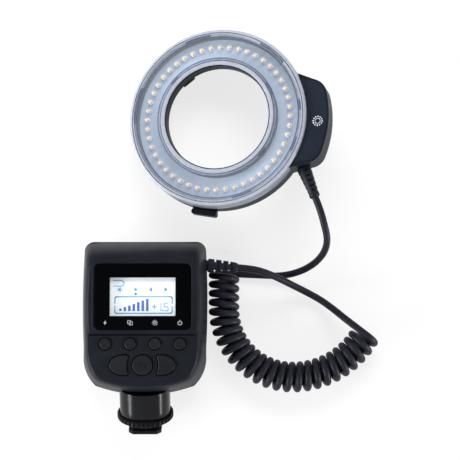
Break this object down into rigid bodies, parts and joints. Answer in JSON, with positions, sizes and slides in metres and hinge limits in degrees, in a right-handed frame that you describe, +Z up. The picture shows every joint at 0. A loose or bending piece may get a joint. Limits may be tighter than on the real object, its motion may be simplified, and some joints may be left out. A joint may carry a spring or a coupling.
{
  "type": "macro ring light",
  "caption": "Macro ring light: a clear-fronted ring of white lamps that clips round a lens, a control unit with display and keys on an accessory-shoe foot, and a curly cord.",
  "frame": {"origin": "middle of the footprint, without the cord, at the table: the control unit lies on its back and the ring head leans on its far edge", "axes": "+X to the right seen from the front, +Y from the shoe foot to the ring head, +Z up out of the display"},
  "size_m": [0.1684, 0.2323, 0.0443],
  "materials": {
    "case_plastic": "fine satin texture",
    "shoe_plastic": "smooth, half gloss",
    "key_plastic": "satin",
    "ring_plastic": "fine satin texture",
    "clear_plastic": "clear, lightly frosted",
    "display_glass": "polished",
    "display_module": "pale reflective display",
    "lamp_resin": "clear resin over yellow phosphor",
    "white_board": "white solder mask",
    "green_board": "green solder mask",
    "soft_rubber": "smooth matt",
    "plain_steel": "plated",
    "black_screw": "blackened",
    "contact_brass": "gold plated",
    "cell_jacket": "printed jacket, plain"
  },
  "bodies": {
    "light": {"battery_cells": "cell_jacket", "battery_contacts": "contact_brass", "box_board": "green_board", "box_cover": "ring_plastic", "button_mat": "soft_rubber", "case_screws": "black_screw", "controller_boot": "soft_rubber", "cord_coil": "soft_rubber", "cord_controller_lead": "soft_rubber", "cord_ring_lead": "soft_rubber", "display_panel": "display_module", "display_window": "display_glass", "foot_screws": "plain_steel", "front_case": "case_plastic", "led_board": "white_board", "leds": "lamp_resin", "main_board": "green_board", "rear_case": "case_plastic", "rear_plate": "ring_plastic", "rear_plate_screws": "black_screw", "release_springs": "plain_steel", "ring_boot": "soft_rubber", "ring_front_cover": "clear_plastic", "ring_housing": "ring_plastic", "shoe_foot": "shoe_plastic", "shoe_neck": "shoe_plastic", "small_contacts": "contact_brass"},
    "battery_door": {"battery_door": "case_plastic"},
    "centre_contact": {"centre_contact": "contact_brass"},
    "clamp_washer": {"clamp_washer": "plain_steel"},
    "key_centre": {"key_centre": "key_plastic"},
    "key_left": {"key_left": "key_plastic"},
    "key_light": {"key_light": "key_plastic"},
    "key_mode": {"key_mode": "key_plastic"},
    "key_pilot": {"key_pilot": "key_plastic"},
    "key_power": {"key_power": "key_plastic"},
    "key_right": {"key_right": "key_plastic"},
    "lock_wheel": {"lock_wheel": "shoe_plastic"},
    "release_slide": {"release_slide": "ring_plastic"}
  },
  "joints": [
    {"name": "wheel_turn", "type": "hinge", "parent": "clamp_washer", "child": "lock_wheel", "pos_m": [-0.0358, -0.10441, 0.01533], "axis": [0, -0.8988, -0.4384], "range_deg": [0, 360]},
    {"name": "clamp_travel", "type": "slide", "parent": "light", "child": "clamp_washer", "axis": [0, -0.8988, -0.4384], "range_m": [0, 0.0015]},
    {"name": "contact_push", "type": "slide", "parent": "light", "child": "centre_contact", "axis": [0, 0.8988, 0.4384], "range_m": [0, 0.0009], "stiffness_N_per_m": 300, "springref_m": -0.001},
    {"name": "door_slide", "type": "slide", "parent": "light", "child": "battery_door", "axis": [0, 1, 0], "range_m": [0, 0.058]},
    {"name": "release_push", "type": "slide", "parent": "light", "child": "release_slide", "axis": [0.1829, 0.9809, -0.0665], "range_m": [0, 0.0018], "stiffness_N_per_m": 800, "springref_m": -0.0015, "deforming": ["release_springs"]},
    {"name": "pilot_press", "type": "slide", "parent": "light", "child": "key_pilot", "axis": [0, 0, -1], "range_m": [0, 0.0008], "stiffness_N_per_m": 600, "springref_m": -0.0006},
    {"name": "mode_press", "type": "slide", "parent": "light", "child": "key_mode", "axis": [0, 0, -1], "range_m": [0, 0.0008], "stiffness_N_per_m": 600, "springref_m": -0.0006},
    {"name": "light_press", "type": "slide", "parent": "light", "child": "key_light", "axis": [0, 0, -1], "range_m": [0, 0.0008], "stiffness_N_per_m": 600, "springref_m": -0.0006},
    {"name": "power_press", "type": "slide", "parent": "light", "child": "key_power", "axis": [0, 0, -1], "range_m": [0, 0.0008], "stiffness_N_per_m": 600, "springref_m": -0.0006},
    {"name": "left_press", "type": "slide", "parent": "light", "child": "key_left", "axis": [0, 0, -1], "range_m": [0, 0.0008], "stiffness_N_per_m": 600, "springref_m": -0.0006},
    {"name": "centre_press", "type": "slide", "parent": "light", "child": "key_centre", "axis": [0, 0, -1], "range_m": [0, 0.0008], "stiffness_N_per_m": 600, "springref_m": -0.0006},
    {"name": "right_press", "type": "slide", "parent": "light", "child": "key_right", "axis": [0, 0, -1], "range_m": [0, 0.0008], "stiffness_N_per_m": 600, "springref_m": -0.0006}
  ],
  "couplings": [
    {"joint": "clamp_travel", "follows": "wheel_turn", "m_per_rad": 0.00023873}
  ]
}
